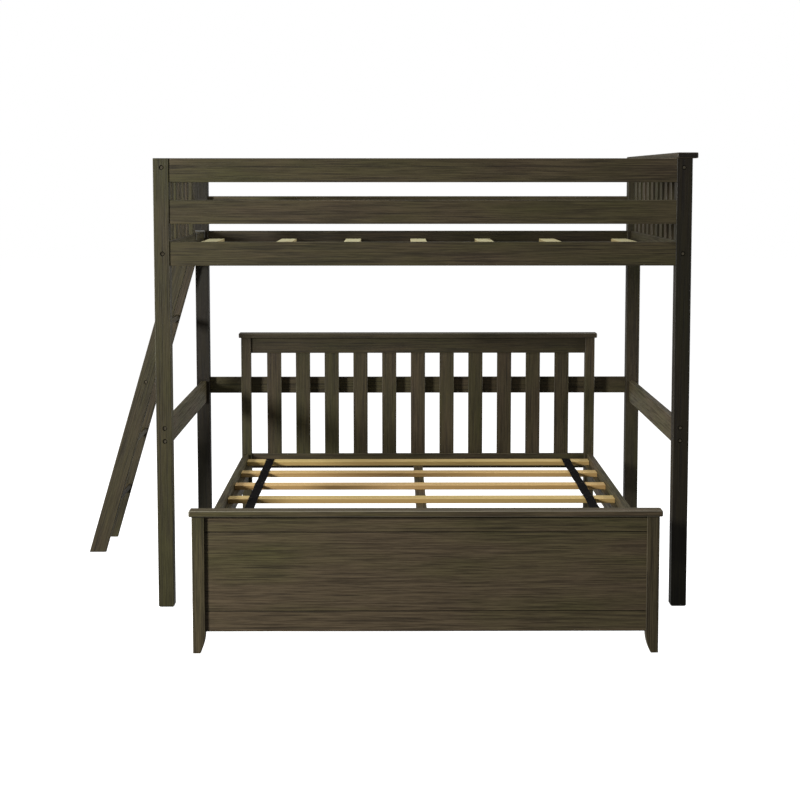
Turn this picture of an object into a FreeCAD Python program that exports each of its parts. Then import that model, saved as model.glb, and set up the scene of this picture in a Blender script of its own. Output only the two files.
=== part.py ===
"""Bunk bed with ladder: a full-size loft bed on four posts, a leaning hook-on ladder at its
left end, and a free-standing queen-size slatted bed that stands crosswise underneath.

Frame: +X runs along the loft bed to the right, +Y to the back, +Z up.
The origin is at the centre of the footprint, on the floor. Millimetres throughout.
"""
import FreeCAD
import Part
import Sketcher
import os
import re

doc = FreeCAD.newDocument("bunk_bed")

# ---------------------------------------------------------------------------------------
# Driving sizes. Each one can be changed by itself.
# ---------------------------------------------------------------------------------------
SIZES = [
    # loft bed frame
    ("loft_length", 2050),            # outside of the posts, left to right
    ("loft_depth", 1486),             # outside of the posts, front to back
    ("post_size", 60),                # square section of a loft post
    ("post_height", 1733),
    ("post_foot_chamfer", 5),
    ("rail_thickness", 25),
    ("rail_height", 91),              # guard rails, side rails and end rails
    ("rail_setback", 4),              # front face of a rail behind the face of its posts
    ("guard_upper_gap", 67),          # top guard rail to middle guard rail
    ("guard_lower_gap", 68),          # middle guard rail to side rail
    ("end_frame_setback", 15),        # end rails stand this far outside the posts' inner faces
    ("stretcher_bottom", 626),
    ("stretcher_height", 97),
    ("rear_stretcher_bottom", 663),
    ("rear_stretcher_height", 74),
    ("rear_stretcher_thickness", 22),
    ("rear_stretcher_setback", 2),    # its back face inside the posts' back faces
    ("end_cap_thickness", 22),
    ("end_cap_side_overhang", 20),
    ("end_cap_end_overhang", 8),
    ("cap_round", 5),
    ("edge_round", 2.5),              # eased long edges of every board
    # slats that fill the end frames
    ("end_slat_width", 57),
    ("end_slat_thickness", 15),
    ("end_slat_count", 10),           # across the whole right-hand end
    ("end_slat_mortise", 8),          # how deep each slat end is let into its rail
    ("entry_slat_count", 6),          # in the part of the left-hand end that is closed
    ("entry_slat_gap", 112),          # the last of them to the entry stile
    ("entry_stile_width", 90),
    # bed slats and their ledgers
    ("slat_width", 76),
    ("slat_thickness", 19),
    ("loft_slat_count", 7),
    ("loft_slat_width", 70),
    ("loft_slat_end_gap", 3),         # outermost slat to the posts' inner faces
    ("loft_slat_end_bay", 333),       # outermost slat to the next, centre to centre
    ("loft_slat_recess", 36),         # slat tops below the top edge of the side rails
    ("ledger_thickness", 22),
    ("ledger_height", 22),
    ("slat_end_gap", 2),
    # ladder
    ("ladder_lean", 16.47),           # degrees from upright
    ("ladder_width", 367),            # over both stringers
    ("ladder_post_gap", 19),          # rear stringer to rear post
    ("stringer_width", 70),
    ("stringer_thickness", 25),
    ("ladder_rail_clearance", 1),
    ("ladder_plumb_drop", 8),         # its upright cut starts this far below the end rail
    ("tread_count", 5),
    ("tread_first_height", 239),      # centre of the lowest tread above the floor
    ("tread_top_gap", 42),            # centre of the top tread below the side rails
    ("tread_depth", 64),
    ("tread_thickness", 25),
    ("tread_housing", 8),             # how far a tread is let into each stringer
    ("tread_round", 8),
    ("hook_width", 21),
    ("hook_thickness", 3),
    ("hook_lip", 30),
    ("hook_clearance", 0.5),
    ("hook_bend", 3),                 # outside radius of the bend
    # lower bed
    ("bed_width", 1632),              # outside of its posts
    ("bed_inner_length", 2045),       # footboard posts to headboard posts
    ("headboard_gap", 6),             # headboard cap to the loft's rear stretcher
    ("bed_post_width", 44),
    ("bed_post_thickness", 44),
    ("foot_width", 26),               # posts narrow to this at the floor
    ("foot_taper_height", 75),
    ("bed_cap_thickness", 22),
    ("bed_cap_overhang", 10),
    ("footboard_height", 507),
    ("footboard_board_thickness", 22),
    ("footboard_setback", 10),
    ("footboard_top_board", 56),
    ("footboard_bottom_board", 73),
    ("footboard_clearance", 75),      # floor to the lower edge of its boards
    ("board_groove", 3),              # rounded edges that meet in a groove
    ("headboard_height", 947),
    ("headboard_board_thickness", 22),
    ("headboard_top_rail", 71),
    ("headboard_bottom_rail", 67),
    ("headboard_bottom_rail_top", 384),
    ("headboard_slat_count", 11),
    ("headboard_slat_end_gap", 74),   # outermost slat to the posts
    ("headboard_slat_width", 66),
    ("headboard_slat_thickness", 12),
    ("bed_rail_setback", 6),          # outer face of a side rail inside the posts
    ("bed_rail_thickness", 25),
    ("bed_rail_height", 127),
    ("bed_rail_top", 384),
    ("lower_slat_count", 7),
    ("lower_slat_recess", 17),        # slat tops below the top edge of the bed rails
    ("lower_slat_head_gap", 41),
    ("lower_slat_foot_gap", 3),
    ("beam_width", 40),
    ("beam_height", 55),
    ("centre_leg_size", 40),
    ("strap_width", 38),
    ("strap_thickness", 2),
    ("strap_inset", 102),             # centre of a strap from the ends of the slats
    # hardware
    ("bolt_head_diameter", 11),
    ("bolt_head_height", 4),
    ("bolt_shank_diameter", 6),
    ("bolt_reach", 30),               # length of bolt inside the board behind the post
    ("bolt_socket_width", 5),         # across the corners of the hexagon socket
    ("bolt_socket_depth", 2),
    ("counterbore_diameter", 18),
    ("counterbore_depth", 8),
    ("bore_clearance", 0.5),
    ("top_bolt_drop", 35),            # end-frame bolt below the top of the post
    ("guard_bolt_drop", 58),          # side bolt of the top guard rail below the post's top
    ("paired_bolt_spacing", 50),
    ("rear_stretcher_bolt_rise", 17),
    ("hook_plate_thickness", 2),
    ("hook_plate_width", 18),
    ("hook_plate_height", 100),
    ("hook_tongue_depth", 10),
    ("hook_tongue_height", 14),
    ("hook_tongue_spacing", 56),
    ("hook_slot_clearance", 0.5),
]

# ---------------------------------------------------------------------------------------
# Places and lengths worked out from the driving sizes.
# ---------------------------------------------------------------------------------------
PLACES = [
    # heights of the loft's rails
    ("guard_top_bottom", "post_height - rail_height"),
    ("guard_middle_bottom", "guard_top_bottom - guard_upper_gap - rail_height"),
    ("side_rail_bottom", "guard_middle_bottom - guard_lower_gap - rail_height"),
    ("side_rail_top", "side_rail_bottom + rail_height"),
    # ladder line, measured from the middle of the loft
    ("rail_outer_reach", "loft_length / 2 - post_size + end_frame_setback + rail_thickness"),
    ("contact_x", "-(rail_outer_reach + ladder_rail_clearance)"),
    ("contact_z", "side_rail_bottom - ladder_plumb_drop"),
    ("lean_slope", "tan(ladder_lean * 1 deg)"),
    ("foot_inner_x", "contact_x - contact_z * lean_slope"),
    ("stringer_level_width", "stringer_width / cos(ladder_lean * 1 deg)"),
    ("foot_outer_x", "foot_inner_x - stringer_level_width"),
    # how far the lower bed's footboard stands in front of the loft
    ("bed_length", "bed_inner_length + 2 * bed_post_thickness"),
    ("headboard_space", "bed_cap_overhang + headboard_gap"),
    ("rear_stretcher_space", "rear_stretcher_thickness + rear_stretcher_setback"),
    ("bed_projection", "bed_length + headboard_space + rear_stretcher_space - loft_depth"),
    # middle of the loft and its front face in the part's own frame
    ("loft_x", "-(foot_outer_x + loft_length / 2 + end_cap_side_overhang) / 2"),
    ("loft_y", "(bed_projection + bed_cap_overhang - loft_depth - end_cap_end_overhang) / 2"),
    # loft bed
    ("loft_left", "loft_x - loft_length / 2"),
    ("loft_right", "loft_x + loft_length / 2"),
    ("loft_inner_left", "loft_left + post_size"),
    ("loft_inner_right", "loft_right - post_size"),
    ("loft_clear_length", "loft_length - 2 * post_size"),
    ("loft_back", "loft_y + loft_depth"),
    ("loft_inner_front", "loft_y + post_size"),
    ("loft_inner_back", "loft_back - post_size"),
    ("loft_clear_depth", "loft_depth - 2 * post_size"),
    ("front_rail_y", "loft_y + rail_setback"),
    ("front_rail_back", "front_rail_y + rail_thickness"),
    ("rear_rail_y", "loft_back - rail_setback - rail_thickness"),
    ("left_frame_x", "loft_inner_left - end_frame_setback - rail_thickness"),
    ("right_frame_x", "loft_inner_right + end_frame_setback"),
    ("end_slat_inset", "(rail_thickness - end_slat_thickness) / 2"),
    ("end_slat_step", "(loft_clear_depth + end_slat_width) / (end_slat_count + 1)"),
    ("end_slat_bottom", "side_rail_top - end_slat_mortise"),
    ("end_slat_length", "guard_top_bottom - side_rail_top + 2 * end_slat_mortise"),
    ("ladder_back", "loft_inner_back - ladder_post_gap"),
    ("ladder_front", "ladder_back - ladder_width"),
    ("entry_stile_y", "ladder_front - entry_stile_width - slat_end_gap"),
    ("entry_rail_length", "entry_stile_y + entry_stile_width - loft_inner_front"),
    ("entry_slat_step",
     "(entry_stile_y - entry_slat_gap - loft_inner_front) / entry_slat_count"),
    ("loft_slat_z", "side_rail_top - loft_slat_recess - slat_thickness"),
    ("loft_slat_y", "front_rail_back + slat_end_gap"),
    ("loft_slat_length", "rear_rail_y - front_rail_back - 2 * slat_end_gap"),
    ("loft_slat_first_x", "loft_inner_left + loft_slat_end_gap"),
    ("loft_slat_last_x", "loft_inner_right - loft_slat_end_gap - loft_slat_width"),
    ("loft_slat_travel", "loft_slat_last_x - loft_slat_first_x - 2 * loft_slat_end_bay"),
    ("loft_slat_pitch", "loft_slat_travel / (loft_slat_count - 3)"),
    ("rear_stretcher_y", "loft_back - rear_stretcher_space"),
    # ladder
    ("stringer_inner_gap", "ladder_width - 2 * stringer_thickness"),
    ("tread_length", "stringer_inner_gap + 2 * tread_housing"),
    ("tread_y", "ladder_front + stringer_thickness - tread_housing"),
    ("tread_rise", "tread_thickness / 2"),
    ("tread_spacing",
     "(side_rail_bottom - tread_top_gap - tread_first_height) / (tread_count - 1)"),
    ("hook_back", "loft_inner_left - end_frame_setback + hook_clearance + hook_thickness"),
    ("hook_front", "loft_x + contact_x - stringer_level_width / 2"),
    # lower bed
    ("bed_left", "loft_x - bed_width / 2"),
    ("bed_right", "loft_x + bed_width / 2"),
    ("bed_front", "loft_y - bed_projection"),
    ("bed_inner_front", "bed_front + bed_post_thickness"),
    ("bed_inner_back", "bed_inner_front + bed_inner_length"),
    ("bed_inner_left", "bed_left + bed_post_width"),
    ("bed_clear_width", "bed_width - 2 * bed_post_width"),
    ("bed_cap_length", "bed_width + 2 * bed_cap_overhang"),
    ("bed_cap_depth", "bed_post_thickness + 2 * bed_cap_overhang"),
    ("footboard_post_height", "footboard_height - bed_cap_thickness"),
    ("headboard_post_height", "headboard_height - bed_cap_thickness"),
    ("footboard_board_y", "bed_front + footboard_setback"),
    ("footboard_panel_bottom", "footboard_clearance + footboard_bottom_board"),
    ("footboard_panel_top", "footboard_post_height - footboard_top_board"),
    ("headboard_board_y",
     "bed_inner_back + (bed_post_thickness - headboard_board_thickness) / 2"),
    ("headboard_slat_y",
     "bed_inner_back + (bed_post_thickness - headboard_slat_thickness) / 2"),
    ("headboard_bottom_rail_z", "headboard_bottom_rail_top - headboard_bottom_rail"),
    ("headboard_top_rail_z", "headboard_post_height - headboard_top_rail"),
    ("headboard_slat_first_x", "bed_inner_left + headboard_slat_end_gap"),
    ("headboard_slat_travel",
     "bed_clear_width - 2 * headboard_slat_end_gap - headboard_slat_width"),
    ("headboard_slat_pitch", "headboard_slat_travel / (headboard_slat_count - 1)"),
    ("headboard_slat_z", "headboard_bottom_rail_top - end_slat_mortise"),
    ("headboard_slat_length",
     "headboard_top_rail_z - headboard_bottom_rail_top + 2 * end_slat_mortise"),
    ("bed_rail_z", "bed_rail_top - bed_rail_height"),
    ("bed_rail_y", "bed_inner_front + hook_plate_thickness"),
    ("bed_rail_length", "bed_inner_length - 2 * hook_plate_thickness"),
    ("left_bed_rail_x", "bed_left + bed_rail_setback"),
    ("right_bed_rail_x", "bed_right - bed_rail_setback - bed_rail_thickness"),
    ("left_ledger_x", "left_bed_rail_x + bed_rail_thickness"),
    ("right_ledger_x", "right_bed_rail_x - ledger_thickness"),
    ("lower_slat_z", "bed_rail_top - lower_slat_recess - slat_thickness"),
    ("lower_slat_x", "left_ledger_x + slat_end_gap"),
    ("lower_slat_length", "right_bed_rail_x - left_ledger_x - 2 * slat_end_gap"),
    ("lower_slat_last_y", "bed_inner_back - lower_slat_head_gap - slat_width"),
    ("lower_slat_first_y", "bed_inner_front + lower_slat_foot_gap"),
    ("lower_slat_step", "(lower_slat_last_y - lower_slat_first_y) / (lower_slat_count - 1)"),
    ("beam_y", "footboard_board_y + footboard_board_thickness"),
    ("beam_length", "headboard_board_y - beam_y"),
    ("beam_z", "lower_slat_z - beam_height"),
    ("centre_leg_y", "beam_y + (beam_length - centre_leg_size) / 2"),
    ("left_strap_x", "lower_slat_x + strap_inset - strap_width / 2"),
    ("right_strap_x", "lower_slat_x + lower_slat_length - strap_inset - strap_width / 2"),
    ("strap_z", "lower_slat_z + slat_thickness"),
    ("strap_length", "lower_slat_last_y + slat_width - lower_slat_first_y"),
]


def fill_sheet(name, rows, as_formula):
    """Write one row per alias: its name in column A and its number or formula in column B."""
    sheet = doc.addObject("Spreadsheet::Sheet", name)
    for line, (alias, content) in enumerate(rows, start=1):
        sheet.set(f"A{line}", alias)
        sheet.setAlias(f"B{line}", alias)
        sheet.set(f"B{line}", "=" + as_formula(content) if as_formula else str(content))
    return sheet


SHEET_OF = {alias: "Sizes" for alias, _ in SIZES}
SHEET_OF.update({alias: "Places" for alias, _ in PLACES})


def formula(text):
    """Turn plain aliases into references that an expression anywhere in the document can use."""
    def reference(match):
        word = match.group(0)
        return f"{SHEET_OF[word]}.{word}" if word in SHEET_OF else word
    return re.sub(r"[a-z_]+", reference, str(text))


def place_formula(text):
    """As formula, for a cell of the Places sheet itself, which names its own cells bare."""
    return formula(text).replace("Places.", "")


sizes = fill_sheet("Sizes", SIZES, None)
doc.recompute()
places = fill_sheet("Places", PLACES, place_formula)
doc.recompute()


def size(alias):
    """The number that a driving size or a worked-out place has now."""
    sheet = sizes if SHEET_OF[alias] == "Sizes" else places
    return float(sheet.get(alias))


def bind(item, prop, text):
    item.setExpression(prop, formula(text))


def put_at(item, corner):
    for axis, text in zip("xyz", corner):
        bind(item, f"Placement.Base.{axis}", text)


# ---------------------------------------------------------------------------------------
# Makers: each returns one object of the document.
# ---------------------------------------------------------------------------------------
AXES = {"X": FreeCAD.Vector(1, 0, 0), "Y": FreeCAD.Vector(0, 1, 0), "Z": FreeCAD.Vector(0, 0, 1)}
finished = []


def finish(item, label):
    """Give an object the label of the piece that it is and keep it for export."""
    item.Label = label
    finished.append(item)
    return item


def own_plane(body, role):
    return next(item for item in body.Origin.OriginFeatures if item.Role == role)


def new_sketch(body, plane_role):
    sketch = body.newObject("Sketcher::SketchObject", "Outline")
    sketch.AttachmentSupport = [(own_plane(body, plane_role), "")]
    sketch.MapMode = "FlatFace"
    return sketch


def edges_where(shape, wanted):
    """Names of the edges of a shape that pass a test on their two end points."""
    names = []
    for number, edge in enumerate(shape.Edges, start=1):
        if wanted(edge.Vertexes[0].Point, edge.Vertexes[-1].Point):
            names.append(f"Edge{number}")
    return names


def edges_along(shape, axes):
    def runs_along(start, end):
        run = end - start
        return any(abs(run.dot(AXES[axis])) > 0.999 * run.Length > 0 for axis in axes)
    return edges_where(shape, runs_along)


def pin_corner(sketch, line, end, across, up):
    """Hold one corner of an outline at two formulas, measured from the sketch's origin."""
    for kind, axis_line, text in (("DistanceX", -2, across), ("DistanceY", -1, up)):
        if text == "0":
            sketch.addConstraint(Sketcher.Constraint("PointOnObject", line, end, axis_line))
        else:
            present = number(text)
            rule = sketch.addConstraint(Sketcher.Constraint(kind, -1, 1, line, end, present))
            bind(sketch, f"Constraints[{rule}]", text)


def padded_outline(body, plane_role, corners, depth):
    """Pad a straight-sided outline, given as pairs of formulas in the order of its corners."""
    sketch = new_sketch(body, plane_role)
    count = len(corners)
    rough = [FreeCAD.Vector(number(across), number(up), 0) for across, up in corners]
    for index in range(count):
        sketch.addGeometry(Part.LineSegment(rough[index], rough[(index + 1) % count]), False)
    for index in range(count):
        joint = Sketcher.Constraint("Coincident", index, 2, (index + 1) % count, 1)
        sketch.addConstraint(joint)
    for index, (across, up) in enumerate(corners):
        pin_corner(sketch, index, 1, across, up)
    return pad_towards_plus(body, sketch, depth)


def pad_towards_plus(body, sketch, depth):
    """Pad a sketch towards the plus side of its plane's normal axis."""
    pad = body.newObject("PartDesign::Pad", "Timber")
    pad.Profile = sketch
    pad.Reversed = sketch.AttachmentSupport[0][0].Role == "XZ_Plane"
    bind(pad, "Length", depth)
    doc.recompute([sketch, pad])
    return pad


def number(text):
    """The present value of a formula, read through a scratch cell."""
    scratch.set("A1", "=" + formula(text))
    scratch.recompute()
    return float(scratch.get("A1"))


def eased(body, base, names, radius):
    fillet = body.newObject("PartDesign::Fillet", "Eased")
    fillet.Base = (base, names)
    bind(fillet, "Radius", radius)
    body.Tip = fillet
    return fillet


def new_body(corner):
    body = doc.addObject("PartDesign::Body", "Body")
    put_at(body, corner)
    return body


def board(corner, lengths, long_axes, rounding="edge_round"):
    """A length of timber with its long edges eased: corner and lengths are formulas."""
    body = new_body(corner)
    width, depth, height = lengths
    outline = [("0", "0"), (width, "0"), (width, depth), ("0", depth)]
    pad = padded_outline(body, "XY_Plane", outline, height)
    eased(body, pad, edges_along(pad.Shape, long_axes), rounding)
    return body


def strip(corner, lengths):
    """A plain thin strip, too thin to ease."""
    box = doc.addObject("Part::Box", "Strip")
    for prop, text in zip(("Length", "Width", "Height"), lengths):
        bind(box, prop, text)
    put_at(box, corner)
    return box


def group(members):
    """Separate solids kept together: identical pieces that share one node."""
    compound = doc.addObject("Part::Compound", "Group")
    compound.Links = members
    return compound


def cut_by(blank, *tools):
    """Take bolt holes, housings and mortises out of a piece."""
    tool = tools[0] if len(tools) == 1 else group(list(tools))
    cut = doc.addObject("Part::Cut", "Cut")
    cut.Base = blank
    cut.Tool = tool
    return cut


def shaped(shape):
    """Hardware whose many copies are made with Part's own functions."""
    feature = doc.addObject("Part::Feature", "Hardware")
    feature.Shape = shape
    return feature


# ---------------------------------------------------------------------------------------
# Bolts, and the stepped holes that they sit in
# ---------------------------------------------------------------------------------------
def bolt_shape(face_point, inward, wall):
    """A socket-head bolt, sunk into a wall and reaching on into the board behind it."""
    seat = face_point + inward * size("counterbore_depth")
    head_height = size("bolt_head_height")
    head = Part.makeCylinder(size("bolt_head_diameter") / 2, head_height, seat, inward * -1)
    shank_length = wall - size("counterbore_depth") + size("bolt_reach")
    shank = Part.makeCylinder(size("bolt_shank_diameter") / 2, shank_length, seat, inward)
    hexagon = []
    side_axis = inward.cross(AXES["Z"])
    rim = seat - inward * head_height
    for turn in range(7):
        spoke = FreeCAD.Rotation(inward, 60 * turn).multVec(side_axis)
        hexagon.append(rim + spoke * (size("bolt_socket_width") / 2))
    socket = Part.Face(Part.makePolygon(hexagon)).extrude(inward * size("bolt_socket_depth"))
    return head.fuse(shank).removeSplitter().cut(socket)


def bore_shape(face_point, inward, wall):
    """The counterbore for a bolt's head and the clearance hole for its shank."""
    outside = face_point - inward
    counterbore = Part.makeCylinder(
        size("counterbore_diameter") / 2, size("counterbore_depth") + 1, outside, inward)
    radius = size("bolt_shank_diameter") / 2 + size("bore_clearance")
    depth = wall + size("bolt_reach") + size("bolt_shank_diameter")
    return counterbore.fuse(Part.makeCylinder(radius, depth, face_point, inward))


def loft_bolt_places():
    """Each bolt's point on a post's outer face and the way it points."""
    rail_middle = size("side_rail_bottom") + size("rail_height") / 2
    guard_middle = size("guard_middle_bottom") + size("rail_height") / 2
    half_pair = size("paired_bolt_spacing") / 2
    stretcher_middle = size("stretcher_bottom") + size("stretcher_height") / 2
    pair = (stretcher_middle - half_pair, stretcher_middle + half_pair)
    end_heights = (rail_middle, *pair)
    top = size("post_height") - size("top_bolt_drop")
    side_heights = (size("post_height") - size("guard_bolt_drop"), guard_middle,
                    rail_middle - half_pair, rail_middle + half_pair)
    stretcher_height = size("rear_stretcher_bottom") + size("rear_stretcher_bolt_rise")
    half_rail = size("rail_thickness") / 2
    left_x = size("left_frame_x") + half_rail
    right_x = size("right_frame_x") + half_rail
    found = []
    for y, inward in ((size("loft_y"), AXES["Y"]), (size("loft_back"), AXES["Y"] * -1)):
        for x in (left_x, right_x):
            open_corner = x == left_x and inward.y < 0
            for z in end_heights if open_corner else (*end_heights, top):
                found.append((FreeCAD.Vector(x, y, z), inward))
    front_y = size("front_rail_y") + half_rail
    rear_y = size("rear_rail_y") + half_rail
    stretcher_y = size("rear_stretcher_y") + size("rear_stretcher_thickness") / 2
    rows = [(front_y, z) for z in side_heights]
    rows += [(rear_y, z) for z in side_heights]
    rows.append((stretcher_y, stretcher_height))
    for x, inward in ((size("loft_left"), AXES["X"]), (size("loft_right"), AXES["X"] * -1)):
        found += [(FreeCAD.Vector(x, y, z), inward) for y, z in rows]
    return found


def each_shape(maker, places_found, wall):
    shapes = [maker(point, inward, wall) for point, inward in places_found]
    return shaped(Part.makeCompound(shapes))


scratch = doc.addObject("Spreadsheet::Sheet", "Scratch")

loft_bolts = each_shape(bolt_shape, loft_bolt_places(), size("post_size"))
loft_bores = each_shape(bore_shape, loft_bolt_places(), size("post_size"))
finish(loft_bolts, "loft_bolts")


# ---------------------------------------------------------------------------------------
# Loft bed: posts and long rails
# ---------------------------------------------------------------------------------------
def loft_post(label, x, y):
    body = new_body((x, y, "0"))
    outline = [("0", "0"), ("post_size", "0"), ("post_size", "post_size"), ("0", "post_size")]
    pad = padded_outline(body, "XY_Plane", outline, "post_height")
    sole = edges_where(pad.Shape, lambda start, end: max(start.z, end.z) < 0.01)
    foot = body.newObject("PartDesign::Chamfer", "Foot")
    foot.Base = (pad, sole)
    bind(foot, "Size", "post_foot_chamfer")
    doc.recompute([foot])
    eased(body, foot, edges_along(foot.Shape, "Z"), "edge_round")
    finish(cut_by(body, loft_bores), label)


for side, x in (("left", "loft_left"), ("right", "loft_inner_right")):
    loft_post(f"loft_post_front_{side}", x, "loft_y")
    loft_post(f"loft_post_rear_{side}", x, "loft_inner_back")

for side, y in (("front", "front_rail_y"), ("rear", "rear_rail_y")):
    long_rails = ((f"guard_rail_{side}_top", "guard_top_bottom"),
                  (f"guard_rail_{side}_middle", "guard_middle_bottom"),
                  (f"loft_side_rail_{side}", "side_rail_bottom"))
    for label, z in long_rails:
        rail = board(("loft_inner_left", y, z),
                     ("loft_clear_length", "rail_thickness", "rail_height"), "X")
        finish(cut_by(rail, loft_bores), label)

rear_stretcher = board(
    ("loft_inner_left", "rear_stretcher_y", "rear_stretcher_bottom"),
    ("loft_clear_length", "rear_stretcher_thickness", "rear_stretcher_height"), "X")
finish(cut_by(rear_stretcher, loft_bores), "rear_stretcher")


# ---------------------------------------------------------------------------------------
# Loft bed: the two end frames. The left one stops short, where the ladder comes in.
# ---------------------------------------------------------------------------------------
def end_slats(frame_x, count, step):
    slats = []
    for index in range(1, count + 1):
        y = f"loft_inner_front + {step} * {index} - end_slat_width"
        slats.append(board((f"{frame_x} + end_slat_inset", y, "end_slat_bottom"),
                           ("end_slat_thickness", "end_slat_width", "end_slat_length"), "Z"))
    return group(slats)


def end_frame(side, frame_x, slats, top_length):
    finish(slats, f"end_slats_{side}")
    rails = ((f"end_rail_{side}_top", "guard_top_bottom", "rail_height", top_length),
             (f"end_rail_{side}_bottom", "side_rail_bottom", "rail_height", "loft_clear_depth"),
             (f"end_stretcher_{side}", "stretcher_bottom", "stretcher_height",
              "loft_clear_depth"))
    for label, z, height, length in rails:
        rail = board((frame_x, "loft_inner_front", z), ("rail_thickness", length, height), "Y")
        finish(cut_by(rail, loft_bores, slats), label)


left_slats = end_slats("left_frame_x", int(size("entry_slat_count")), "entry_slat_step")
right_slats = end_slats("right_frame_x", int(size("end_slat_count")), "end_slat_step")
end_frame("left", "left_frame_x", left_slats, "entry_rail_length")
end_frame("right", "right_frame_x", right_slats, "loft_clear_depth")

entry_stile = board(("left_frame_x", "entry_stile_y", "side_rail_top"),
                    ("rail_thickness", "entry_stile_width", "guard_top_bottom - side_rail_top"),
                    "Z")
finish(entry_stile, "entry_stile")

end_cap = board(
    ("loft_inner_right", "loft_y - end_cap_end_overhang", "post_height"),
    ("post_size + end_cap_side_overhang", "loft_depth + 2 * end_cap_end_overhang",
     "end_cap_thickness"), "XYZ", "cap_round")
finish(end_cap, "end_cap_right")


# ---------------------------------------------------------------------------------------
# Loft bed: ledgers and bed slats
# ---------------------------------------------------------------------------------------
ledgers = []
for y in ("front_rail_back", "rear_rail_y - ledger_thickness"):
    ledgers.append(board(("loft_inner_left", y, "loft_slat_z - ledger_height"),
                         ("loft_clear_length", "ledger_thickness", "ledger_height"), "X"))
finish(group(ledgers), "loft_slat_ledgers")

inner_count = int(size("loft_slat_count")) - 2
inner_slats = [f"loft_slat_first_x + loft_slat_end_bay + loft_slat_pitch * {index}"
               for index in range(inner_count)]
loft_slats = []
for x in ("loft_slat_first_x", *inner_slats, "loft_slat_last_x"):
    loft_slats.append(board((x, "loft_slat_y", "loft_slat_z"),
                            ("loft_slat_width", "loft_slat_length", "slat_thickness"), "Y"))
finish(group(loft_slats), "loft_slats")


# ---------------------------------------------------------------------------------------
# Ladder: level treads housed in two leaning stringers, with a steel hook on each
# ---------------------------------------------------------------------------------------
def tread_height(index):
    return f"(tread_first_height + tread_spacing * {index})"


def ladder_middle(height):
    """X of the middle of the stringers at a height, as a formula."""
    return f"(loft_x + foot_outer_x + stringer_level_width / 2 + {height} * lean_slope)"


def tread(index):
    middle = ladder_middle(tread_height(index))
    corner = (f"{middle} - tread_depth / 2", "tread_y", f"{tread_height(index)} - tread_rise")
    return board(corner, ("tread_depth", "tread_length", "tread_thickness"), "Y", "tread_round")


def stringer(y):
    body = new_body(("loft_x + foot_outer_x", y, "0"))
    plumb_x = "contact_x - foot_outer_x"
    outline = [("0", "0"), ("stringer_level_width", "0"), (plumb_x, "contact_z"),
               (plumb_x, "side_rail_top"), ("side_rail_top * lean_slope", "side_rail_top")]
    pad = padded_outline(body, "XZ_Plane", outline, "stringer_thickness")
    upright = edges_where(pad.Shape, lambda start, end: abs(end.z - start.z) > 1)
    eased(body, pad, upright, "edge_round")
    return body


def ladder_bolt_places():
    """One bolt through each stringer into the end of the middle tread."""
    middle_tread = int(size("tread_count")) // 2
    x = number(ladder_middle(tread_height(middle_tread)))
    z = number(tread_height(middle_tread))
    return [(FreeCAD.Vector(x, size("ladder_front"), z), AXES["Y"]),
            (FreeCAD.Vector(x, size("ladder_back"), z), AXES["Y"] * -1)]


def hook(y):
    """A flat bar screwed on a stringer's top end and turned down behind the end rail."""
    body = new_body(("hook_front", y, "side_rail_top - hook_lip"))
    reach = "hook_back - hook_front"
    rise = "hook_lip + hook_thickness"
    outline = [("0", "hook_lip"), (f"{reach} - hook_thickness", "hook_lip"),
               (f"{reach} - hook_thickness", "0"), (reach, "0"), (reach, rise), ("0", rise)]
    pad = padded_outline(body, "XZ_Plane", outline, "hook_width")
    top = pad.Shape.BoundBox.ZMax
    back = pad.Shape.BoundBox.XMax
    bend = edges_where(pad.Shape, lambda start, end: min(start.z, end.z) > top - 0.01
                       and min(start.x, end.x) > back - 0.01)
    eased(body, pad, bend, "hook_bend")
    return body


stringer_wall = size("stringer_thickness")
ladder_bolts = each_shape(bolt_shape, ladder_bolt_places(), stringer_wall)
ladder_bores = each_shape(bore_shape, ladder_bolt_places(), stringer_wall)
finish(ladder_bolts, "ladder_bolts")

tread_blanks = [tread(index) for index in range(int(size("tread_count")))]
for index, blank in enumerate(tread_blanks, start=1):
    finish(cut_by(blank, ladder_bores), f"ladder_tread_{index}")
for side, y in (("front", "ladder_front"), ("rear", "ladder_back - stringer_thickness")):
    finish(cut_by(stringer(y), ladder_bores, *tread_blanks), f"ladder_stringer_{side}")

hook_inset = "(stringer_thickness - hook_width) / 2"
finish(group([hook(f"ladder_front + {hook_inset}"),
              hook(f"ladder_back - stringer_thickness + {hook_inset}")]), "ladder_hooks")


# ---------------------------------------------------------------------------------------
# Lower bed: hook plates that join its side rails to its posts
# ---------------------------------------------------------------------------------------
def box_about(x, y_low, y_high, z, width, height):
    corner = FreeCAD.Vector(x - width / 2, y_low, z - height / 2)
    return Part.makeBox(width, y_high - y_low, height, corner)


def hook_plate(rail_x, post_face, into_post, clearance):
    """A steel plate on a rail's end, with two tongues that drop into slots in the post."""
    middle = size("bed_rail_z") + size("bed_rail_height") / 2
    thickness = size("hook_plate_thickness")
    plate_edge = post_face - into_post * thickness
    tongue_end = post_face + into_post * (size("hook_tongue_depth") + clearance)
    tongue_height = size("hook_tongue_height") + 2 * clearance
    tongues = []
    for rise in (-0.5, 0.5):
        z = middle + rise * size("hook_tongue_spacing")
        low, high = sorted((post_face, tongue_end))
        tongues.append(box_about(rail_x, low, high, z, thickness + 2 * clearance, tongue_height))
    low, high = sorted((plate_edge, post_face))
    plate = box_about(rail_x, low, high, middle, size("hook_plate_width"),
                      size("hook_plate_height"))
    return plate.multiFuse(tongues).removeSplitter()


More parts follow.
